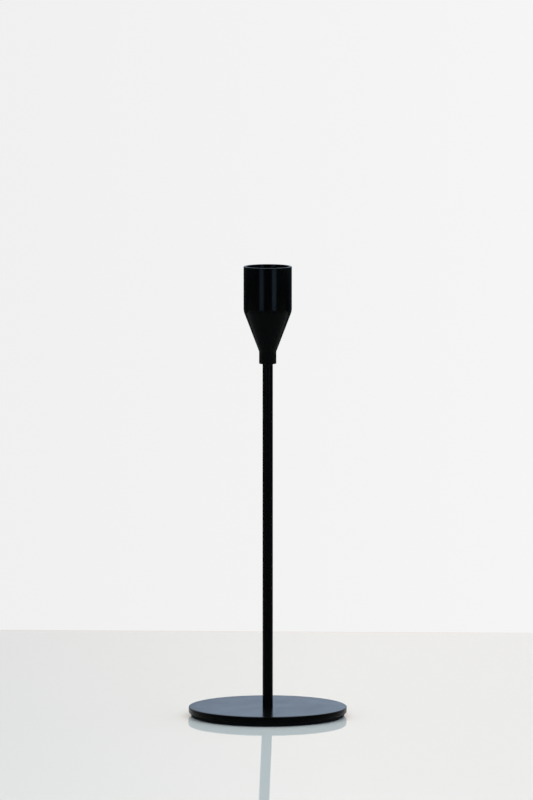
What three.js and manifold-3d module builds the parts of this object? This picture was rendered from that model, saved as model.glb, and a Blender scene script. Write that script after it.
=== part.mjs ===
// Taper candle holder: a weighted round foot, a slim stem, and a cup that screws onto the stem's top
// and holds the candle in a sleeve pressed into it.
//
// Millimetres, +Z up. The origin is the centre of the foot's underside, on the surface it stands on.

import * as THREE from 'three';
import { mergeVertices } from 'three/addons/utils/BufferGeometryUtils.js';
import Module from 'manifold-3d';

// ---- Foot ----
const PLATE_DIAMETER = 92;
const PLATE_THICKNESS = 3.5;
const PLATE_EDGE_RADIUS = 0.5;
const PAD_THICKNESS = 1.9;
const PAD_INSET = 1.5; // the pad's edge stands this far inside the plate's
const PAD_HOLE_DIAMETER = 13; // lets a key reach the screw

// ---- Stem ----
const STEM_DIAMETER = 6;
const STEM_EXPOSED = 200.3; // from the plate's top to the cup's neck
const STEM_SEAT_DEPTH = 0.5; // the shallow recess in the plate that centres the stem
const STEM_EDGE = 0.3;

// ---- Screw and stud, both of one thread ----
const THREAD_DIAMETER = 4;
const THREAD_PITCH = 0.7;
const SCREW_LENGTH = 12; // a countersunk screw is measured over its head
const SCREW_HEAD_DIAMETER = 8;
const SCREW_SOCKET_ACROSS_FLATS = 2.5;
const SCREW_SOCKET_DEPTH = 1.6;
const STUD_GRIP = 9; // how much of the stud is screwed into the stem
const STUD_SOCKET_ACROSS_FLATS = 2;
const STUD_SOCKET_DEPTH = 2.2;
const THREAD_RUN_OUT = 1.5; // spare depth of a tapped hole beyond what is in it
const DRILL_POINT_HEIGHT = 1.2;

// ---- Cup ----
const CUP_DIAMETER = 28;
const CUP_WALL_HEIGHT = 26; // the straight part
const CUP_CORNER_RADIUS = 8; // between the straight part and the cone
const CONE_HALF_ANGLE = 21; // degrees
const NECK_DIAMETER = 10;
const NECK_LENGTH = 7.2;
const NECK_SOCKET_DEPTH = 5; // how far the neck reaches down over the stem and its washer
const CUP_TURNS = 12; // full turns from seated to free
const CUP_EDGE = 0.2;

// ---- Candle sleeve ----
const CANDLE_DIAMETER = 22; // the household taper candle
const CANDLE_PLAY = 0.5;
const SLEEVE_WALL = 1.2;
const SLEEVE_FLOOR = 1.2;
const SLEEVE_DEPTH = 20;
const SLEEVE_RECESS = 2.5; // its rim lies this far below the cup's
const SLEEVE_EDGE = 0.3;

// ---- Washer ----
const WASHER_THICKNESS = 0.5;

// ---- Clearances: radial, or on a length ----
const THREAD_GAP = 0.08;
const SOCKET_GAP = 0.15; // neck over the stem
const SEAT_GAP = 0.1; // stem in the plate's recess
const SLEEVE_GAP = 0.06; // sleeve in the cup
const HEAD_GAP = 0.1; // screw head in its countersink

// ---- Facets ----
const WIDE_SEGMENTS = 72;
const CUP_SEGMENTS = 56;
const SLIM_SEGMENTS = 32;
const CORNER_STEPS = 4;

// ---- Sizes that follow from the ones above ----
const plateRadius = PLATE_DIAMETER / 2;
const stemRadius = STEM_DIAMETER / 2;
const threadRadius = THREAD_DIAMETER / 2;
const tappedRadius = threadRadius + THREAD_GAP;
const headRadius = SCREW_HEAD_DIAMETER / 2;
const neckRadius = NECK_DIAMETER / 2;
const cupRadius = CUP_DIAMETER / 2;
const boreRadius = (CANDLE_DIAMETER + CANDLE_PLAY) / 2;
const sleeveRadius = boreRadius + SLEEVE_WALL;

// Heights above the surface.
const plateBottom = PAD_THICKNESS;
const plateTop = plateBottom + PLATE_THICKNESS;
const stemBottom = plateTop - STEM_SEAT_DEPTH;
const neckBottom = plateTop + STEM_EXPOSED;
const stemTop = neckBottom + NECK_SOCKET_DEPTH - WASHER_THICKNESS;

// Heights above the neck's lower face, which is where the cup's own frame starts.
const coneBottom = NECK_LENGTH;
const coneTop = coneBottom + (cupRadius - neckRadius) / Math.tan(THREE.MathUtils.degToRad(CONE_HALF_ANGLE));
const wallTop = coneTop + CUP_WALL_HEIGHT;
const sleeveTop = wallTop - SLEEVE_RECESS;
const sleeveFloorTop = sleeveTop - SLEEVE_DEPTH;
const sleeveBottom = sleeveFloorTop - SLEEVE_FLOOR;

// The cup leaves the stud after CUP_TURNS turns, so that is the thread's length in the cup.
const threadInCup = CUP_TURNS * THREAD_PITCH;
const studLength = STUD_GRIP + WASHER_THICKNESS + threadInCup;

// ---- Finishes ----
const powderCoat = new THREE.MeshStandardMaterial({ color: 0x141516, roughness: 0.4, metalness: 0 });
const rubber = new THREE.MeshStandardMaterial({ color: 0x0d0d0d, roughness: 0.9, metalness: 0 });
const zincPlate = new THREE.MeshStandardMaterial({ color: 0xb6babd, roughness: 0.35, metalness: 1 });
const nylon = new THREE.MeshStandardMaterial({ color: 0xe4dfd2, roughness: 0.6, metalness: 0 });

const wasm = await Module();
wasm.setup();

/** A closed body turned about +Z from [radius, height] points, outside going up. */
function turnedGeometry(points, segments) {
  const outline = points.map(([radius, height]) => new THREE.Vector2(radius, height));
  return new THREE.LatheGeometry(outline, segments).rotateX(Math.PI / 2);
}

/** A ring turned about +Z: its outline closes on itself. */
function ringGeometry(points, segments) {
  return turnedGeometry([...points, points[0]], segments);
}

/** Points along a quarter or part round, from one angle in degrees to another, about [radius, height]. */
function arc([centreRadius, centreHeight], radius, fromDegrees, toDegrees, steps = CORNER_STEPS) {
  return Array.from({ length: steps + 1 }, (_, step) => {
    const angle = THREE.MathUtils.degToRad(fromDegrees + ((toDegrees - fromDegrees) * step) / steps);
    return [centreRadius + radius * Math.cos(angle), centreHeight + radius * Math.sin(angle)];
  });
}

function toManifold(geometry) {
  const bare = geometry.clone();
  bare.deleteAttribute('normal');
  bare.deleteAttribute('uv');
  const merged = mergeVertices(bare);
  return new wasm.Manifold(new wasm.Mesh({
    numProp: 3,
    vertProperties: new Float32Array(merged.attributes.position.array),
    triVerts: new Uint32Array(merged.index.array),
  }));
}

function fromManifold(solid) {
  const mesh = solid.getMesh();
  const geometry = new THREE.BufferGeometry();
  geometry.setAttribute('position', new THREE.BufferAttribute(mesh.vertProperties, 3));
  geometry.setIndex(new THREE.BufferAttribute(mesh.triVerts, 1));
  geometry.computeVertexNormals();
  return geometry;
}

/** Cuts a hexagon socket into a body, centred on +Z between two heights. */
function withHexSocket(geometry, acrossFlats, bottom, top) {
  const acrossCorners = acrossFlats / Math.cos(Math.PI / 6);
  const prism = new THREE.CylinderGeometry(acrossCorners / 2, acrossCorners / 2, top - bottom, 6);
  prism.rotateX(Math.PI / 2).translate(0, 0, (top + bottom) / 2);
  return fromManifold(toManifold(geometry).subtract(toManifold(prism)));
}

function piece(name, geometry, material) {
  const mesh = new THREE.Mesh(geometry, material);
  mesh.name = name;
  return mesh;
}

/** Rubber disc glued under the plate, with a hole for the screw. */
function basePad() {
  const radius = plateRadius - PAD_INSET;
  const hole = PAD_HOLE_DIAMETER / 2;
  return piece('base_pad', ringGeometry([
    [hole, 0],
    [radius, 0],
    [radius, PAD_THICKNESS],
    [hole, PAD_THICKNESS],
  ], WIDE_SEGMENTS), rubber);
}

/** Steel disc with a countersunk hole from below and a shallow seat for the stem on top. */
function basePlate() {
  const edgeCentre = plateRadius - PLATE_EDGE_RADIUS;
  const hole = threadRadius + THREAD_GAP;
  const sink = headRadius + HEAD_GAP;
  const seat = stemRadius + SEAT_GAP;
  return piece('base_plate', ringGeometry([
    [sink, plateBottom],
    ...arc([edgeCentre, plateBottom + PLATE_EDGE_RADIUS], PLATE_EDGE_RADIUS, -90, 0),
    ...arc([edgeCentre, plateTop - PLATE_EDGE_RADIUS], PLATE_EDGE_RADIUS, 0, 90),
    [seat, plateTop],
    [seat, stemBottom],
    [hole, stemBottom],
    [hole, plateBottom + sink - hole],
  ], WIDE_SEGMENTS), powderCoat);
}

/** Countersunk screw with a hexagon socket, up through the plate into the stem. */
function baseScrew() {
  const head = turnedGeometry([
    [0, plateBottom],
    [headRadius, plateBottom],
    [threadRadius, plateBottom + headRadius - threadRadius],
    [threadRadius, plateBottom + SCREW_LENGTH - STEM_EDGE],
    [threadRadius - STEM_EDGE, plateBottom + SCREW_LENGTH],
    [0, plateBottom + SCREW_LENGTH],
  ], SLIM_SEGMENTS);
  const socketStart = plateBottom - SCREW_SOCKET_DEPTH;
  const socketEnd = plateBottom + SCREW_SOCKET_DEPTH;
  return piece('base_screw', withHexSocket(head, SCREW_SOCKET_ACROSS_FLATS, socketStart, socketEnd), zincPlate);
}

/** Round rod with a tapped hole in each end. */
function stem() {
  const lowerHoleTop = plateBottom + SCREW_LENGTH + THREAD_RUN_OUT;
  const upperHoleBottom = stemTop - STUD_GRIP - THREAD_RUN_OUT;
  const lower = [
    [0, lowerHoleTop + DRILL_POINT_HEIGHT],
    [tappedRadius, lowerHoleTop],
    [tappedRadius, stemBottom],
    [stemRadius - STEM_EDGE, stemBottom],
    [stemRadius, stemBottom + STEM_EDGE],
  ];
  const upper = [
    [stemRadius, stemTop - STEM_EDGE],
    [stemRadius - STEM_EDGE, stemTop],
    [tappedRadius, stemTop],
    [tappedRadius, upperHoleBottom],
    [0, upperHoleBottom - DRILL_POINT_HEIGHT],
  ];
  return piece('stem', turnedGeometry([...lower, ...upper], SLIM_SEGMENTS), powderCoat);
}

/** Headless stud locked in the stem's top, with a hexagon socket in its free end. */
function cupStud() {
  const bottom = stemTop - STUD_GRIP;
  const top = bottom + studLength;
  const rod = turnedGeometry([
    [0, bottom],
    [threadRadius - STEM_EDGE, bottom],
    [threadRadius, bottom + STEM_EDGE],
    [threadRadius, top - STEM_EDGE],
    [threadRadius - STEM_EDGE, top],
    [0, top],
  ], SLIM_SEGMENTS);
  const socketStart = top - STUD_SOCKET_DEPTH;
  const socketEnd = top + STUD_SOCKET_DEPTH;
  return piece('cup_stud', withHexSocket(rod, STUD_SOCKET_ACROSS_FLATS, socketStart, socketEnd), zincPlate);
}

/** Thin washer on the stem's end: the cup tightens against it. */
function cupWasher() {
  return piece('cup_washer', ringGeometry([
    [tappedRadius, stemTop],
    [stemRadius, stemTop],
    [stemRadius, stemTop + WASHER_THICKNESS],
    [tappedRadius, stemTop + WASHER_THICKNESS],
  ], SLIM_SEGMENTS), nylon);
}

/** Turned cup: neck, cone and straight wall, tapped from below and bored for the sleeve. */
function cupBody() {
  const socket = stemRadius + SOCKET_GAP;
  const tappedTop = NECK_SOCKET_DEPTH + threadInCup + THREAD_RUN_OUT;
  const pocket = sleeveRadius + SLEEVE_GAP;
  const cornerCut = CUP_CORNER_RADIUS * Math.tan(THREE.MathUtils.degToRad(CONE_HALF_ANGLE / 2));
  const corner = arc(
    [cupRadius - CUP_CORNER_RADIUS, coneTop + cornerCut],
    CUP_CORNER_RADIUS,
    -CONE_HALF_ANGLE,
    0,
  );
  return piece('cup_body', turnedGeometry([
    [0, tappedTop + DRILL_POINT_HEIGHT],
    [tappedRadius, tappedTop],
    [tappedRadius, NECK_SOCKET_DEPTH],
    [socket, NECK_SOCKET_DEPTH],
    [socket, CUP_EDGE],
    [socket + CUP_EDGE, 0],
    [neckRadius - CUP_EDGE, 0],
    [neckRadius, CUP_EDGE],
    [neckRadius, coneBottom],
    ...corner,
    [cupRadius, wallTop - CUP_EDGE],
    [cupRadius - CUP_EDGE, wallTop],
    [pocket + CUP_EDGE, wallTop],
    [pocket, wallTop - CUP_EDGE],
    [pocket, sleeveBottom],
    [0, sleeveBottom],
  ], CUP_SEGMENTS), powderCoat);
}

/** Thin-walled cup for the candle, pressed into the cup body. */
function candleSleeve() {
  return piece('candle_sleeve', turnedGeometry([
    [0, sleeveBottom],
    [sleeveRadius - SLEEVE_EDGE, sleeveBottom],
    [sleeveRadius, sleeveBottom + SLEEVE_EDGE],
    ...arc([sleeveRadius - SLEEVE_EDGE, sleeveTop - SLEEVE_EDGE], SLEEVE_EDGE, 0, 90, 2),
    ...arc([boreRadius + SLEEVE_EDGE, sleeveTop - SLEEVE_EDGE], SLEEVE_EDGE, 90, 180, 2),
    [boreRadius, sleeveFloorTop],
    [0, sleeveFloorTop],
  ], CUP_SEGMENTS), powderCoat);
}

const stand = new THREE.Group();
stand.add(basePad(), basePlate(), baseScrew(), stem(), cupStud());

const cup = new THREE.Group();
cup.position.z = neckBottom;
cup.add(cupBody(), candleSleeve());

const group = new THREE.Group();
group.add(stand, cupWasher(), cup);

export default group;
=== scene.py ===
"""Taper candle holder: a round weighted foot, a slim rod stem and a screw-on cup with a candle sleeve.

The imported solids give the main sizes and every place, and this file makes the finished surfaces.
Lengths are in metres, with +Z up and the foot's underside at the origin.
"""

import math

import bmesh
import bpy
from bpy.props import FloatProperty, FloatVectorProperty, IntProperty, PointerProperty
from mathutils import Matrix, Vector


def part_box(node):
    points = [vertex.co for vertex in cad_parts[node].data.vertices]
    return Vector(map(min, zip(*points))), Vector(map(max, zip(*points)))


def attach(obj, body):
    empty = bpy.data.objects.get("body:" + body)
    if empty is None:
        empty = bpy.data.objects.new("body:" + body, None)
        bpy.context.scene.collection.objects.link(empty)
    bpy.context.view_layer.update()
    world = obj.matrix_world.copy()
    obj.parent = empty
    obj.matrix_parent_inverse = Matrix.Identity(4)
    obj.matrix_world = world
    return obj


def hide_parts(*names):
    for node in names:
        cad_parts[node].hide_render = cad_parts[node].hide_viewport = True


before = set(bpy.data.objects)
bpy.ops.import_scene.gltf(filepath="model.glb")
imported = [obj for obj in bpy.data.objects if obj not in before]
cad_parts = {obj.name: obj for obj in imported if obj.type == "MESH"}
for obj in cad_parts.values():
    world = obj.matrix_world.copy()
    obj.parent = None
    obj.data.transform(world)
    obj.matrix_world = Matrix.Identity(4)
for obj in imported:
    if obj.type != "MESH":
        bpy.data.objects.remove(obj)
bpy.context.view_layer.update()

bl_info = {
    "name": "Taper Candle Holder",
    "version": (1, 0, 0),
    "blender": (4, 5, 0),
    "location": "View3D > Sidebar > Candle Holder",
    "description": "Builds a powder-coated taper candle holder whose cup screws onto its stem",
    "category": "Add Mesh",
}

MM = 0.001
THREAD_DEPTH = 0.61  # depth of a 60 degree thread, in pitches


# ---------------------------------------------------------------------------------------------------
# Sizes read from the solids
# ---------------------------------------------------------------------------------------------------


def reach(node):
    """A node's radius, lowest and highest point."""
    low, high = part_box(node)
    return high[0], low[2], high[2]


PLATE_RADIUS, PLATE_BOTTOM, PLATE_TOP = reach("base_plate")
PAD_RADIUS, PAD_BOTTOM, PAD_TOP = reach("base_pad")
SCREW_RADIUS, SCREW_BOTTOM, SCREW_TOP = reach("base_screw")
STEM_RADIUS, STEM_BOTTOM, STEM_TOP = reach("stem")
STUD_RADIUS, STUD_BOTTOM, STUD_TOP = reach("cup_stud")
WASHER_RADIUS, WASHER_BOTTOM, WASHER_TOP = reach("cup_washer")
CUP_RADIUS, CUP_BOTTOM, CUP_TOP = reach("cup_body")
SLEEVE_RADIUS, SLEEVE_BOTTOM, SLEEVE_TOP = reach("candle_sleeve")


# ---------------------------------------------------------------------------------------------------
# Properties
# ---------------------------------------------------------------------------------------------------


def length(name, description, default):
    return FloatProperty(
        name=name, description=description, default=default, min=0.0, subtype="DISTANCE", unit="LENGTH"
    )


def colour(name, description, default):
    return FloatVectorProperty(
        name=name, description=description, default=default, min=0.0, max=1.0, size=3, subtype="COLOR"
    )


class CandleHolderSizes(bpy.types.PropertyGroup):
    segments: IntProperty(
        name="Segments", description="Faces round each turned surface", default=192, min=24, max=384
    )
    plate_edge: length("Plate edge", "Radius of the rounded rims of the foot plate", 0.5 * MM)
    pad_edge: length("Pad edge", "Radius of the rounded rims of the rubber pad", 0.3 * MM)
    pad_hole: length("Pad hole", "Radius of the pad's hole under the screw", 6.5 * MM)
    stem_edge: length("Stem edge", "Chamfer on the ends of the stem", 0.3 * MM)
    thread_radius: length("Thread", "Outer radius of the screw and stud threads", STUD_RADIUS)
    thread_pitch: length("Pitch", "Advance of the threads in one turn", 0.7 * MM)
    thread_gap: length("Thread gap", "Radial play of a thread in its hole", 0.08 * MM)
    screw_socket: length("Screw socket", "Hexagon socket of the screw, across its flats", 2.5 * MM)
    stud_socket: length("Stud socket", "Hexagon socket of the stud, across its flats", 2.0 * MM)
    neck_radius: length("Neck", "Radius of the collar under the cup", 5.0 * MM)
    neck_length: length("Neck length", "Height of the collar under the cup", 7.2 * MM)
    neck_socket: length("Neck socket", "How far the collar reaches down over the stem", 5.0 * MM)
    wall_height: length("Wall height", "Height of the straight part of the cup", 26.0 * MM)
    corner_radius: length("Corner", "Radius between the cup's wall and its cone", 8.0 * MM)
    cup_edge: length("Cup edge", "Rounding of the cup's rims", 0.35 * MM)
    candle_radius: length("Candle bore", "Inner radius of the sleeve", 11.25 * MM)
    sleeve_floor: length("Sleeve floor", "Thickness of the sleeve's floor", 1.2 * MM)
    sleeve_edge: length("Sleeve edge", "Rounding of the sleeve's rim", 0.3 * MM)


class CandleHolderFinish(bpy.types.PropertyGroup):
    coat: colour("Coat", "Colour of the powder coat", (0.0006, 0.0006, 0.0006))
    rubber: colour("Rubber", "Colour of the non-slip pad", (0.002, 0.002, 0.002))
    zinc: colour("Zinc", "Colour of the plated screw and stud", (0.60, 0.61, 0.62))
    nylon: colour("Nylon", "Colour of the washer", (0.74, 0.71, 0.62))


class CandleHolderStudio(bpy.types.PropertyGroup):
    backdrop: colour("Backdrop", "Colour seen behind the object", (0.896, 0.896, 0.896))
    table: colour("Table", "Colour of the table top", (0.728, 0.756, 0.753))
    glaze: length("Glaze", "Depth of the table's clear top layer", 0.4 * MM)
    glaze_lean: FloatProperty(
        name="Glaze lean",
        description="How far the glaze is out of level",
        default=math.radians(1.22),
        subtype="ANGLE",
    )
    lens: FloatProperty(
        name="Lens",
        description="Focal length of the camera",
        default=393.2,
        min=1.0,
        subtype="DISTANCE_CAMERA",
    )
    camera_distance: length("Distance", "How far the camera stands from the stem", 5.037)
    camera_height: length("Height", "How high the camera stands above the table", 0.7175)
    aim_height: length("Aim", "Height that the camera looks at", 0.1845)


# ---------------------------------------------------------------------------------------------------
# Mesh tools
# ---------------------------------------------------------------------------------------------------


def arc(centre_radius, centre_height, radius, start, end, steps):
    """Outline points on part of a circle, from one angle in degrees to another."""
    angles = [math.radians(start + (end - start) * step / steps) for step in range(steps + 1)]
    return [(centre_radius + radius * math.cos(a), centre_height + radius * math.sin(a)) for a in angles]


def new_object(name, mesh):
    piece = bpy.data.objects.new(name, mesh)
    bpy.context.scene.collection.objects.link(piece)
    return piece


def finish_mesh(name, build):
    """Turns a bmesh into an object, smooth except along its sharp edges."""
    bmesh.ops.recalc_face_normals(build, faces=build.faces)
    sharp = math.radians(32.0)
    for face in build.faces:
        face.smooth = True
    for edge in build.edges:
        edge.smooth = not edge.is_manifold or edge.calc_face_angle(0.0) < sharp
    mesh = bpy.data.meshes.new(name)
    build.to_mesh(mesh)
    build.free()
    return new_object(name, mesh)


def add_ring(build, points):
    return [build.verts.new(point) for point in points]


def bridge(build, lower, upper):
    """Quads between two rings of the same count."""
    count = len(lower)
    for i in range(count):
        j = (i + 1) % count
        build.faces.new((lower[i], lower[j], upper[j], upper[i]))


def close_with_point(build, ring, point):
    """A fan from a ring to one point on the axis."""
    centre = build.verts.new(point)
    count = len(ring)
    for i in range(count):
        build.faces.new((ring[i], ring[(i + 1) % count], centre))


def circle(radius, height, count):
    step = math.tau / count
    return [(radius * math.cos(i * step), radius * math.sin(i * step), height) for i in range(count)]


def turned(name, outline, count, ring=False):
    """A closed body turned about Z from (radius, height) points. A point at radius 0 closes an end."""
    build = bmesh.new()
    rings = []
    start_point = end_point = None
    for index, (radius, height) in enumerate(outline):
        if radius > 0.0:
            rings.append(add_ring(build, circle(radius, height, count)))
        elif index == 0:
            start_point = (0.0, 0.0, height)
        else:
            end_point = (0.0, 0.0, height)
    for lower, upper in zip(rings, rings[1:]):
        bridge(build, lower, upper)
    if ring:
        bridge(build, rings[-1], rings[0])
    else:
        close_with_point(build, rings[0], start_point)
        close_with_point(build, rings[-1], end_point)
    return finish_mesh(name, build)


def hexagon(across_flats, height, count):
    """Points spaced by angle along a hexagon, as many as a ring has."""
    flat = across_flats / 2
    points = []
    for i in range(count):
        angle = math.tau * i / count
        off_flat = (angle + math.pi / 6) % (math.pi / 3) - math.pi / 6
        radius = flat / math.cos(off_flat)
        points.append((radius * math.cos(angle), radius * math.sin(angle), height))
    return points


def add_hex_socket(build, rim, across_flats, mouth, depth, inward):
    """A hexagon socket from a ring on an end face. inward is +1 where the socket goes up, -1 down."""
    count = len(rim)
    chamfer = 0.12 * MM
    drill_radius = across_flats * 0.42
    drill_step = 0.05 * MM
    drill_tip = 0.3 * MM
    lip = add_ring(build, hexagon(across_flats + 2 * chamfer, mouth, count))
    wall_top = add_ring(build, hexagon(across_flats, mouth + inward * chamfer, count))
    wall_end = add_ring(build, hexagon(across_flats, mouth + inward * depth, count))
    drill = add_ring(build, circle(drill_radius, mouth + inward * (depth + drill_step), count))
    bridge(build, rim, lip)
    bridge(build, lip, wall_top)
    bridge(build, wall_top, wall_end)
    bridge(build, wall_end, drill)
    close_with_point(build, drill, (0.0, 0.0, mouth + inward * (depth + drill_tip)))


def thread_rings(build, radius, pitch, bottom, top, count):
    """The end rings of a right-handed 60 degree thread. Its crests shrink to the root near both ends."""
    root = radius - THREAD_DEPTH * pitch
    run_out = 1.2 * pitch
    root_flat, flank_share = 0.12, 0.74
    rings_per_turn = 14
    steps = round((top - bottom) / pitch * rings_per_turn)
    rings = []
    for step in range(steps + 1):
        height = bottom + (top - bottom) * step / steps
        fade = min(1.0, (height - bottom) / run_out, (top - height) / run_out)
        points = []
        for i in range(count):
            angle = math.tau * i / count
            phase = (height / pitch - angle / math.tau) % 1.0
            crest = 1.0 - abs(2.0 * phase - 1.0)
            flank = min(1.0, max(0.0, (crest - root_flat) / flank_share))
            here = root + (radius - root) * flank * fade
            points.append((here * math.cos(angle), here * math.sin(angle), height))
        rings.append(add_ring(build, points))
    for lower, upper in zip(rings, rings[1:]):
        bridge(build, lower, upper)
    return rings[0], rings[-1]


# ---------------------------------------------------------------------------------------------------
# Material tools
# ---------------------------------------------------------------------------------------------------


class Nodes:
    """Short calls for a node tree."""

    def __init__(self, tree):
        self.tree = tree
        tree.nodes.clear()

    def add(self, kind, **settings):
        node = self.tree.nodes.new(kind)
        for key, value in settings.items():
            setattr(node, key, value)
        return node

    def link(self, source, target):
        self.tree.links.new(source, target)

    def feed(self, socket, value):
        """Links an output to a socket, or sets its value."""
        if isinstance(value, bpy.types.NodeSocket):
            self.link(value, socket)
        else:
            socket.default_value = value

    def math(self, operation, a, b):
        node = self.add("ShaderNodeMath", operation=operation)
        self.feed(node.inputs[0], a)
        self.feed(node.inputs[1], b)
        return node.outputs[0]

    def noise(self, vector, scale, detail, roughness=0.5):
        node = self.add("ShaderNodeTexNoise")
        self.link(vector, node.inputs["Vector"])
        node.inputs["Scale"].default_value = scale
        node.inputs["Detail"].default_value = detail
        node.inputs["Roughness"].default_value = roughness
        return node.outputs["Fac"]

    def stretched(self, vector, factor):
        """Coordinates squeezed along Z, so that a pattern runs round a turned piece."""
        node = self.add("ShaderNodeMapping")
        node.inputs["Scale"].default_value = (1.0, 1.0, factor)
        self.link(vector, node.inputs["Vector"])
        return node.outputs[0]

    def map_range(self, value, from_low, from_high, to_low, to_high):
        node = self.add("ShaderNodeMapRange")
        for socket, number in zip(node.inputs, (value, from_low, from_high, to_low, to_high)):
            self.feed(socket, number)
        return node.outputs[0]

    def mix_colour(self, factor, a, b):
        node = self.add("ShaderNodeMix", data_type="RGBA")
        self.feed(node.inputs[0], factor)
        self.feed(node.inputs[6], a)
        self.feed(node.inputs[7], b)
        return node.outputs[2]

    def bump(self, height, strength, distance, normal=None):
        node = self.add("ShaderNodeBump")
        node.inputs["Strength"].default_value = strength
        node.inputs["Distance"].default_value = distance
        self.link(height, node.inputs["Height"])
        if normal is not None:
            self.link(normal, node.inputs["Normal"])
        return node.outputs["Normal"]


def shade(rgb, factor):
    """An RGBA colour, lighter or darker by a factor."""
    return (rgb[0] * factor, rgb[1] * factor, rgb[2] * factor, 1.0)


def empty_material(name):
    """A material without a shader, its node helper, object coordinates and output socket."""
    material = bpy.data.materials.new(name)
    material.use_nodes = True
    nodes = Nodes(material.node_tree)
    place = nodes.add("ShaderNodeTexCoord").outputs["Object"]
    output = nodes.add("ShaderNodeOutputMaterial").inputs["Surface"]
    return material, nodes, place, output


def new_material(name):
    """A material with a Principled shader, and its node helper and object coordinates."""
    material, nodes, place, output = empty_material(name)
    surface = nodes.add("ShaderNodeBsdfPrincipled")
    nodes.link(surface.outputs[0], output)
    return material, nodes, surface, place


def powder_coat(name, rgb, turned_lines=0.0):
    """Satin powder coat: a soft orange peel, fine grain, and a little uneven gloss."""
    roughness = 0.18
    material, nodes, surface, place = new_material(name)
    peel = nodes.noise(place, 900.0, 1.0)
    grain = nodes.noise(place, 5200.0, 2.0, 0.6)
    clouds = nodes.noise(place, 55.0, 3.0, 0.55)
    nodes.link(nodes.mix_colour(clouds, shade(rgb, 0.8), shade(rgb, 1.25)), surface.inputs["Base Color"])
    uneven = nodes.map_range(clouds, 0.3, 0.7, roughness - 0.025, roughness + 0.025)
    fine = nodes.map_range(grain, 0.3, 0.7, -0.02, 0.02)
    nodes.link(nodes.math("ADD", uneven, fine), surface.inputs["Roughness"])
    normal = nodes.bump(peel, 0.05, 0.05 * MM)
    normal = nodes.bump(grain, 0.05, 0.01 * MM, normal)
    if turned_lines:
        lines = nodes.noise(nodes.stretched(place, 240.0), 30.0, 2.0)
        normal = nodes.bump(lines, turned_lines, 0.02 * MM, normal)
    nodes.link(normal, surface.inputs["Normal"])
    surface.inputs["IOR"].default_value = 1.5
    surface.inputs["Specular IOR Level"].default_value = 0.03
    return material


def moulded_rubber(name, rgb):
    """Matt black rubber with a fine pebbled skin and faint dusty patches."""
    material, nodes, surface, place = new_material(name)
    pebble = nodes.add("ShaderNodeTexVoronoi")
    nodes.link(place, pebble.inputs["Vector"])
    pebble.inputs["Scale"].default_value = 2200.0
    dust = nodes.noise(place, 160.0, 4.0, 0.6)
    tone = nodes.map_range(dust, 0.45, 0.75, 0.0, 1.0)
    nodes.link(nodes.mix_colour(tone, shade(rgb, 0.9), shade(rgb, 1.8)), surface.inputs["Base Color"])
    nodes.link(nodes.map_range(dust, 0.3, 0.7, 0.72, 0.86), surface.inputs["Roughness"])
    nodes.link(nodes.bump(pebble.outputs["Distance"], 0.3, 0.04 * MM), surface.inputs["Normal"])
    surface.inputs["Specular IOR Level"].default_value = 0.05
    return material


def zinc_plate(name, rgb):
    """Bright zinc: a bluish metal with faint cloudy stains and a rolled grain along the threads."""
    material, nodes, surface, place = new_material(name)
    stains = nodes.noise(place, 420.0, 3.0, 0.6)
    grain = nodes.noise(nodes.stretched(place, 30.0), 900.0, 2.0)
    blue = (rgb[0] * 0.86, rgb[1] * 0.93, rgb[2], 1.0)
    nodes.link(nodes.mix_colour(stains, shade(rgb, 1.05), blue), surface.inputs["Base Color"])
    nodes.link(nodes.map_range(stains, 0.3, 0.7, 0.24, 0.40), surface.inputs["Roughness"])
    nodes.link(nodes.bump(grain, 0.2, 0.008 * MM), surface.inputs["Normal"])
    surface.inputs["Metallic"].default_value = 1.0
    return material


def natural_nylon(name, rgb):
    """Milky moulded nylon, slightly waxy."""
    material, nodes, surface, place = new_material(name)
    cloud = nodes.noise(place, 700.0, 2.0)
    nodes.link(nodes.mix_colour(cloud, shade(rgb, 0.94), shade(rgb, 1.04)), surface.inputs["Base Color"])
    nodes.link(nodes.map_range(cloud, 0.3, 0.7, 0.42, 0.55), surface.inputs["Roughness"])
    nodes.link(nodes.bump(cloud, 0.1, 0.01 * MM), surface.inputs["Normal"])
    surface.inputs["Subsurface Weight"].default_value = 0.15
    surface.inputs["Subsurface Scale"].default_value = 0.5 * MM
    return material


def table_white(name, rgb):
    """Even white paint under the table's clear top layer."""
    material, nodes, place, output = empty_material(name)
    clouds = nodes.noise(place, 3.0, 2.0)
    paint = nodes.add("ShaderNodeBsdfDiffuse")
    nodes.link(nodes.mix_colour(clouds, shade(rgb, 0.99), shade(rgb, 1.01)), paint.inputs["Color"])
    nodes.link(paint.outputs[0], output)
    return material


def table_glaze(name, lean):
    """Clear glossy layer over the white. It is a little out of level, which leans its reflections."""
    material, nodes, place, output = empty_material(name)
    uneven = nodes.noise(place, 3.0, 2.0)
    facing = nodes.add("ShaderNodeCombineXYZ")
    facing.inputs["X"].default_value = math.sin(lean)
    facing.inputs["Z"].default_value = math.cos(lean)
    clear = nodes.add("ShaderNodeBsdfTransparent")
    gloss = nodes.add("ShaderNodeBsdfGlossy")
    gloss.inputs["Color"].default_value = (0.879, 0.588, 0.405, 1.0)
    nodes.link(nodes.map_range(uneven, 0.3, 0.7, 0.03, 0.05), gloss.inputs["Roughness"])
    nodes.link(facing.outputs[0], gloss.inputs["Normal"])
    fresnel = nodes.add("ShaderNodeFresnel")
    fresnel.inputs["IOR"].default_value = 1.6
    underside = nodes.add("ShaderNodeNewGeometry").outputs["Backfacing"]
    from_above = nodes.math("SUBTRACT", 1.0, underside)
    both = nodes.add("ShaderNodeMixShader")
    nodes.link(nodes.math("MULTIPLY", fresnel.outputs[0], from_above), both.inputs[0])
    nodes.link(clear.outputs[0], both.inputs[1])
    nodes.link(gloss.outputs[0], both.inputs[2])
    nodes.link(both.outputs[0], output)
    return material


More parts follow.
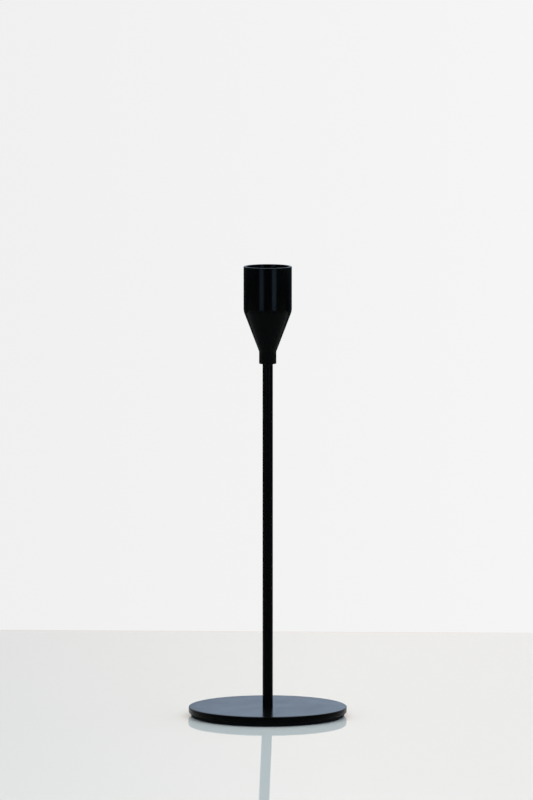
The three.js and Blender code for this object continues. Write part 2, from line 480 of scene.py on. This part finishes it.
def dress(piece, material, body, solid):
    """Gives a piece its material, slot and body, and hides the solid that it stands for."""
    piece.data.materials.append(material)
    strip_lit_pieces().objects.link(piece)
    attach(piece, body)
    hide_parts(solid)


def strip_lit_pieces():
    """The collection that the strip lights shine on, so that the table doesn't mirror them."""
    name = "strip_lit_pieces"
    return bpy.data.collections.get(name) or bpy.data.collections.new(name)


def coat_material(finish):
    """The powder coat that the plate, stem and cup share."""
    name = "satin_black_powder_coat"
    return bpy.data.materials.get(name) or powder_coat(name, finish.coat)


def zinc_material(finish):
    """The plating that the screw and stud share."""
    name = "bright_zinc"
    return bpy.data.materials.get(name) or zinc_plate(name, finish.zinc)


# ---------------------------------------------------------------------------------------------------
# Pieces
# ---------------------------------------------------------------------------------------------------


def thread_hole(sizes):
    """Radius of a hole round a thread."""
    return sizes.thread_radius + sizes.thread_gap


def foot_plate_outline(sizes):
    """Steel disc with rounded rims, a countersink below and the stem's seat on top."""
    play = 0.1 * MM
    lead_in = 0.12 * MM
    edge = sizes.plate_edge
    sink = SCREW_RADIUS + play
    hole = thread_hole(sizes)
    seat = STEM_RADIUS + play
    rim = PLATE_RADIUS - edge
    inner_rings = (0.3 * rim, 0.6 * rim, 0.9 * rim)
    return [
        (sink, PLATE_BOTTOM),
        *[(radius, PLATE_BOTTOM) for radius in inner_rings],
        *arc(rim, PLATE_BOTTOM + edge, edge, -90, 0, 7),
        *arc(rim, PLATE_TOP - edge, edge, 0, 90, 7),
        *[(radius, PLATE_TOP) for radius in reversed(inner_rings)],
        (seat + lead_in, PLATE_TOP),
        (seat, PLATE_TOP - lead_in),
        (seat, STEM_BOTTOM),
        (hole, STEM_BOTTOM),
        (hole, PLATE_BOTTOM + sink - hole),
    ]


def foot_pad_outline(sizes):
    """Rubber ring with rounded rims and shallow round grooves moulded in its underside."""
    edge = sizes.pad_edge
    hole = sizes.pad_hole
    groove_depth = 0.5 * MM
    groove_half = 0.45 * MM
    flank = 0.25 * MM
    outline = [(hole, PAD_BOTTOM + edge), (hole + edge, PAD_BOTTOM)]
    groove_count = 9
    spread = PAD_RADIUS - hole
    for groove in range(1, groove_count + 1):
        middle = hole + spread * groove / (groove_count + 1)
        outline += [
            (middle - groove_half - flank, PAD_BOTTOM),
            (middle - groove_half, PAD_BOTTOM + groove_depth),
            (middle + groove_half, PAD_BOTTOM + groove_depth),
            (middle + groove_half + flank, PAD_BOTTOM),
        ]
    outline += arc(PAD_RADIUS - edge, PAD_BOTTOM + edge, edge, -90, 0, 4)
    outline += [(PAD_RADIUS, PAD_TOP), (hole, PAD_TOP)]
    return outline


def stem_outline(sizes):
    """Rod with chamfered ends and a tapped hole in each."""
    edge = sizes.stem_edge
    hole = thread_hole(sizes)
    spare_thread = 1.5 * MM
    drill_tip = 1.2 * MM
    lead_in = 0.25 * MM
    lower_end = SCREW_TOP + spare_thread
    upper_end = STUD_BOTTOM - spare_thread
    return [
        (0.0, lower_end + drill_tip),
        (hole, lower_end),
        (hole, STEM_BOTTOM),
        (STEM_RADIUS - edge, STEM_BOTTOM),
        (STEM_RADIUS, STEM_BOTTOM + edge),
        (STEM_RADIUS, STEM_TOP - edge),
        (STEM_RADIUS - edge, STEM_TOP),
        (hole + lead_in, STEM_TOP),
        (hole, STEM_TOP - lead_in),
        (hole, upper_end),
        (0.0, upper_end - drill_tip),
    ]


def washer_outline(sizes):
    """Flat ring with softened rims."""
    hole = thread_hole(sizes)
    soft = 0.1 * MM
    return [
        (hole, WASHER_BOTTOM + soft),
        (hole + soft, WASHER_BOTTOM),
        *arc(WASHER_RADIUS - soft, WASHER_BOTTOM + soft, soft, -90, 0, 3),
        *arc(WASHER_RADIUS - soft, WASHER_TOP - soft, soft, 0, 90, 3),
        (hole + soft, WASHER_TOP),
        (hole, WASHER_TOP - soft),
    ]


def cup_outline(sizes):
    """Neck, cone and straight wall, with the tapped hole below and the sleeve's pocket above."""
    stem_play = 0.15 * MM
    sleeve_play = 0.06 * MM
    spare_thread = 1.5 * MM
    drill_tip = 1.2 * MM
    edge = sizes.cup_edge
    corner = sizes.corner_radius
    hole = thread_hole(sizes)
    tapped_top = STUD_TOP + spare_thread
    socket = STEM_RADIUS + stem_play
    socket_top = CUP_BOTTOM + sizes.neck_socket
    pocket = SLEEVE_RADIUS + sleeve_play
    neck = sizes.neck_radius
    cone_bottom = CUP_BOTTOM + sizes.neck_length
    cone_top = CUP_TOP - sizes.wall_height
    slope = math.atan2(CUP_RADIUS - neck, cone_top - cone_bottom)
    corner_cut = corner * math.tan(slope / 2)
    foot_cut = edge * math.tan(slope / 2)
    return [
        (0.0, tapped_top + drill_tip),
        (hole, tapped_top),
        (hole, socket_top),
        (socket, socket_top),
        (socket, CUP_BOTTOM + edge),
        (socket + edge, CUP_BOTTOM),
        *arc(neck - edge, CUP_BOTTOM + edge, edge, -90, 0, 5),
        (neck, cone_bottom - foot_cut),
        (neck + edge * math.sin(slope) / 2, cone_bottom + foot_cut),
        *arc(CUP_RADIUS - corner, cone_top + corner_cut, corner, -math.degrees(slope), 0, 10),
        *arc(CUP_RADIUS - edge, CUP_TOP - edge, edge, 0, 90, 5),
        *arc(pocket + edge, CUP_TOP - edge, edge, 90, 180, 5),
        (pocket, SLEEVE_BOTTOM),
        (0.0, SLEEVE_BOTTOM),
    ]


def sleeve_outline(sizes):
    """Thin-walled candle sleeve with a rolled rim and a small fillet round its floor."""
    edge = sizes.sleeve_edge
    bore = sizes.candle_radius
    floor = SLEEVE_BOTTOM + sizes.sleeve_floor
    fillet = 0.8 * MM
    return [
        (0.0, SLEEVE_BOTTOM),
        (SLEEVE_RADIUS - edge, SLEEVE_BOTTOM),
        (SLEEVE_RADIUS, SLEEVE_BOTTOM + edge),
        *arc(SLEEVE_RADIUS - edge, SLEEVE_TOP - edge, edge, 0, 90, 5),
        *arc(bore + edge, SLEEVE_TOP - edge, edge, 90, 180, 5),
        *arc(bore - fillet, floor + fillet, fillet, 0, -90, 5),
        (0.0, floor),
    ]


def foot_screw(sizes, count):
    """Countersunk head with a hexagon socket below, and a thread that goes up into the stem."""
    radius = sizes.thread_radius
    pitch = sizes.thread_pitch
    head_height = SCREW_RADIUS - radius
    face_chamfer = 0.15 * MM
    rim_land = 0.2 * MM
    plain_shank = 0.5 * MM
    tip_height = 0.3 * MM
    tip_radius = radius - THREAD_DEPTH * pitch - 0.2 * MM
    socket_depth = 1.6 * MM
    head_top = SCREW_BOTTOM + head_height + rim_land

    build = bmesh.new()
    face = add_ring(build, circle(SCREW_RADIUS - face_chamfer, SCREW_BOTTOM, count))
    rim = add_ring(build, circle(SCREW_RADIUS, SCREW_BOTTOM + rim_land / 2, count))
    rim_top = add_ring(build, circle(SCREW_RADIUS, SCREW_BOTTOM + rim_land, count))
    under_head = add_ring(build, circle(radius, head_top, count))
    low, high = thread_rings(build, radius, pitch, head_top + plain_shank, SCREW_TOP - tip_height, count)
    tip = add_ring(build, circle(tip_radius, SCREW_TOP, count))
    for lower, upper in ((face, rim), (rim, rim_top), (rim_top, under_head), (under_head, low), (high, tip)):
        bridge(build, lower, upper)
    close_with_point(build, tip, (0.0, 0.0, SCREW_TOP))
    add_hex_socket(build, face, sizes.screw_socket, SCREW_BOTTOM, socket_depth, 1)
    return finish_mesh("foot_screw", build)


def threaded_stud(sizes, count):
    """Headless stud with chamfered ends and a hexagon socket in its top."""
    radius = sizes.thread_radius
    pitch = sizes.thread_pitch
    root = radius - THREAD_DEPTH * pitch
    chamfer = 0.25 * MM
    socket_depth = 2.2 * MM

    build = bmesh.new()
    low, high = thread_rings(build, radius, pitch, STUD_BOTTOM + chamfer, STUD_TOP - chamfer, count)
    start = add_ring(build, circle(root - 0.15 * MM, STUD_BOTTOM, count))
    end = add_ring(build, circle(root - 0.05 * MM, STUD_TOP, count))
    bridge(build, start, low)
    bridge(build, high, end)
    close_with_point(build, start, (0.0, 0.0, STUD_BOTTOM))
    add_hex_socket(build, end, sizes.stud_socket, STUD_TOP, socket_depth, -1)
    return finish_mesh("threaded_stud", build)


class CANDLE_OT_foot(bpy.types.Operator):
    """Makes the steel foot plate and the rubber pad under it"""

    bl_idname = "candle.foot"
    bl_label = "Foot"

    def execute(self, context):
        sizes = context.scene.candle_sizes
        finish = context.scene.candle_finish
        plate = turned("foot_plate", foot_plate_outline(sizes), sizes.segments, ring=True)
        dress(plate, coat_material(finish), "stand", "base_plate")
        pad = turned("foot_pad", foot_pad_outline(sizes), sizes.segments, ring=True)
        dress(pad, moulded_rubber("non_slip_rubber", finish.rubber), "stand", "base_pad")
        return {"FINISHED"}


class CANDLE_OT_stem(bpy.types.Operator):
    """Makes the rod between the foot and the cup"""

    bl_idname = "candle.stem"
    bl_label = "Stem"

    def execute(self, context):
        sizes = context.scene.candle_sizes
        rod = turned("stem_rod", stem_outline(sizes), sizes.segments // 2)
        dress(rod, coat_material(context.scene.candle_finish), "stand", "stem")
        return {"FINISHED"}


class CANDLE_OT_fasteners(bpy.types.Operator):
    """Makes the countersunk screw, the stud and the washer"""

    bl_idname = "candle.fasteners"
    bl_label = "Fasteners"

    def execute(self, context):
        sizes = context.scene.candle_sizes
        finish = context.scene.candle_finish
        around = 72
        screw = foot_screw(sizes, around)
        dress(screw, zinc_material(finish), "stand", "base_screw")
        stud = threaded_stud(sizes, around)
        dress(stud, zinc_material(finish), "stand", "cup_stud")
        washer = turned("nylon_washer", washer_outline(sizes), around, ring=True)
        dress(washer, natural_nylon("natural_nylon", finish.nylon), "washer", "cup_washer")
        return {"FINISHED"}


class CANDLE_OT_cup(bpy.types.Operator):
    """Makes the turned cup and the candle sleeve pressed into it"""

    bl_idname = "candle.cup"
    bl_label = "Cup"

    def execute(self, context):
        sizes = context.scene.candle_sizes
        finish = context.scene.candle_finish
        cup = turned("cup_shell", cup_outline(sizes), sizes.segments)
        dress(cup, coat_material(finish), "cup", "cup_body")
        sleeve = turned("sleeve_liner", sleeve_outline(sizes), sizes.segments)
        lacquer = powder_coat("satin_black_lacquer", finish.coat, turned_lines=0.15)
        dress(sleeve, lacquer, "cup", "candle_sleeve")
        return {"FINISHED"}


# ---------------------------------------------------------------------------------------------------
# Stage
# ---------------------------------------------------------------------------------------------------


def make_table(studio):
    """A white table top under a thin clear glaze. It ends a little way behind the object."""
    half_width, front, back = 3.0, -2.4, 0.373
    depth = 0.03
    edge = 0.002
    turn = math.radians(-2.4)

    build = bmesh.new()
    bmesh.ops.create_cube(build, size=1.0)
    for vert in build.verts:
        vert.co.x *= 2 * half_width
        vert.co.y = front if vert.co.y < 0 else back
        vert.co.z = -depth if vert.co.z < 0 else -studio.glaze
    bmesh.ops.bevel(build, geom=build.edges[:], offset=edge, segments=4, profile=0.5, affect="EDGES")
    mesh = bpy.data.meshes.new("table_top")
    build.to_mesh(mesh)
    build.free()
    table = new_object("table_top", mesh)
    table.rotation_euler.z = turn
    table.data.materials.append(table_white("white_paint", studio.table))

    side = half_width - edge
    near, far = front + edge, back - edge
    corners = [(-side, near, 0), (side, near, 0), (side, far, 0), (-side, far, 0)]
    sheet = bpy.data.meshes.new("table_glaze")
    sheet.from_pydata(corners, [], [(0, 1, 2, 3)])
    glaze = new_object("table_glaze", sheet)
    glaze.rotation_euler.z = turn
    glaze.data.materials.append(table_glaze("clear_glaze", studio.glaze_lean))


def make_world(studio):
    """Studio light by direction. The camera itself sees an almost even white backdrop."""
    world = bpy.data.worlds.new("studio")
    world.use_nodes = True
    nodes = Nodes(world.node_tree)
    direction = nodes.add("ShaderNodeTexCoord").outputs["Generated"]
    split = nodes.add("ShaderNodeSeparateXYZ")
    nodes.link(direction, split.inputs[0])
    ramp = nodes.add("ShaderNodeValToRGB")
    nodes.link(nodes.map_range(split.outputs["Z"], -1.0, 1.0, 0.0, 1.0), ramp.inputs[0])
    stops = (
        (0.0, (0.05, 0.05, 0.05)),
        (0.49, (0.04, 0.05, 0.06)),
        (0.505, (0.20, 0.25, 0.32)),
        (0.55, (0.22, 0.27, 0.35)),
        (0.562, (0.44, 0.55, 0.71)),
        (0.60, (0.43, 0.54, 0.70)),
        (0.75, (0.60, 0.66, 0.68)),
        (1.0, (0.80, 0.86, 0.88)),
    )
    elements = ramp.color_ramp.elements
    while len(elements) < len(stops):
        elements.new(0.5)
    for element, (position, rgb) in zip(elements, stops):
        element.position = position
        element.color = (*rgb, 1.0)
    dim_front = nodes.map_range(split.outputs["Y"], -0.9, -0.3, 0.3, 1.0)
    light = nodes.add("ShaderNodeBackground")
    nodes.link(ramp.outputs[0], light.inputs[0])
    to_right = nodes.map_range(split.outputs["X"], -0.025, 0.013, 1.72, 2.2)
    nodes.link(nodes.math("MULTIPLY", dim_front, to_right), light.inputs[1])
    backdrop = nodes.add("ShaderNodeBackground")
    backdrop.inputs[0].default_value = shade(studio.backdrop, 1.0)
    nodes.link(nodes.map_range(split.outputs["X"], -0.03, 0.03, 0.975, 1.02), backdrop.inputs[1])
    seen = nodes.add("ShaderNodeLightPath").outputs["Is Camera Ray"]
    both = nodes.add("ShaderNodeMixShader")
    nodes.link(seen, both.inputs[0])
    nodes.link(light.outputs[0], both.inputs[1])
    nodes.link(backdrop.outputs[0], both.inputs[2])
    output = nodes.add("ShaderNodeOutputWorld")
    nodes.link(both.outputs[0], output.inputs[0])
    bpy.context.scene.world = world


def make_strip_light(name, azimuth, power):
    """A soft box that faces the object. azimuth is in degrees, from the front to the right."""
    width, height = 0.42, 0.3
    distance, middle = 1.25, 0.24
    light = bpy.data.lights.new(name, "AREA")
    light.shape = "RECTANGLE"
    light.size = width
    light.size_y = height
    light.energy = power
    light.color = (0.45, 0.72, 1.0)
    lamp = bpy.data.objects.new(name, light)
    angle = math.radians(azimuth)
    lamp.location = (distance * math.sin(angle), -distance * math.cos(angle), middle)
    aim = Vector((0.0, 0.0, middle)) - lamp.location
    lamp.rotation_euler = aim.to_track_quat("-Z", "Y").to_euler()
    lamp.visible_camera = False
    lamp.light_linking.receiver_collection = strip_lit_pieces()
    bpy.context.scene.collection.objects.link(lamp)


def make_camera(studio):
    camera_data = bpy.data.cameras.new("camera")
    camera_data.lens = studio.lens
    camera_data.sensor_width = 36.0
    camera_data.clip_end = 100.0
    camera = bpy.data.objects.new("camera", camera_data)
    camera.location = (0.0, -studio.camera_distance, studio.camera_height)
    aim_side = -0.7 * MM
    aim = Vector((aim_side, 0.0, studio.aim_height)) - camera.location
    camera.rotation_euler = aim.to_track_quat("-Z", "Y").to_euler()
    bpy.context.scene.collection.objects.link(camera)
    bpy.context.scene.camera = camera


class CANDLE_OT_stage(bpy.types.Operator):
    """Sets the table, the lights and the camera"""

    bl_idname = "candle.stage"
    bl_label = "Stage"

    def execute(self, context):
        studio = context.scene.candle_studio
        make_table(studio)
        make_world(studio)
        make_strip_light("strip_left", -29.2, 2.7)
        make_strip_light("strip_right", 30.7, 3.4)
        make_camera(studio)
        context.scene.view_settings.view_transform = "Standard"
        return {"FINISHED"}


# ---------------------------------------------------------------------------------------------------
# Panel and registration
# ---------------------------------------------------------------------------------------------------

BUILD_STEPS = (CANDLE_OT_stage, CANDLE_OT_foot, CANDLE_OT_stem, CANDLE_OT_fasteners, CANDLE_OT_cup)


class CANDLE_PT_panel(bpy.types.Panel):
    """Lists the steps that build the candle holder"""

    bl_idname = "CANDLE_PT_panel"
    bl_label = "Taper Candle Holder"
    bl_space_type = "VIEW_3D"
    bl_region_type = "UI"
    bl_category = "Candle Holder"

    def draw(self, context):
        for step in BUILD_STEPS:
            self.layout.operator(step.bl_idname)
        for group in (context.scene.candle_sizes, context.scene.candle_finish, context.scene.candle_studio):
            box = self.layout.box()
            for name in group.__annotations__:
                box.prop(group, name)


SETTINGS = (CandleHolderSizes, CandleHolderFinish, CandleHolderStudio)


def register():
    for item in (*SETTINGS, *BUILD_STEPS, CANDLE_PT_panel):
        bpy.utils.register_class(item)
    bpy.types.Scene.candle_sizes = PointerProperty(type=CandleHolderSizes)
    bpy.types.Scene.candle_finish = PointerProperty(type=CandleHolderFinish)
    bpy.types.Scene.candle_studio = PointerProperty(type=CandleHolderStudio)


def unregister():
    del bpy.types.Scene.candle_studio
    del bpy.types.Scene.candle_finish
    del bpy.types.Scene.candle_sizes
    for item in reversed((*SETTINGS, *BUILD_STEPS, CANDLE_PT_panel)):
        bpy.utils.unregister_class(item)


def main():
    register()
    bpy.ops.candle.stage()
    bpy.ops.candle.foot()
    bpy.ops.candle.stem()
    bpy.ops.candle.fasteners()
    bpy.ops.candle.cup()


if __name__ == "__main__":
    main()
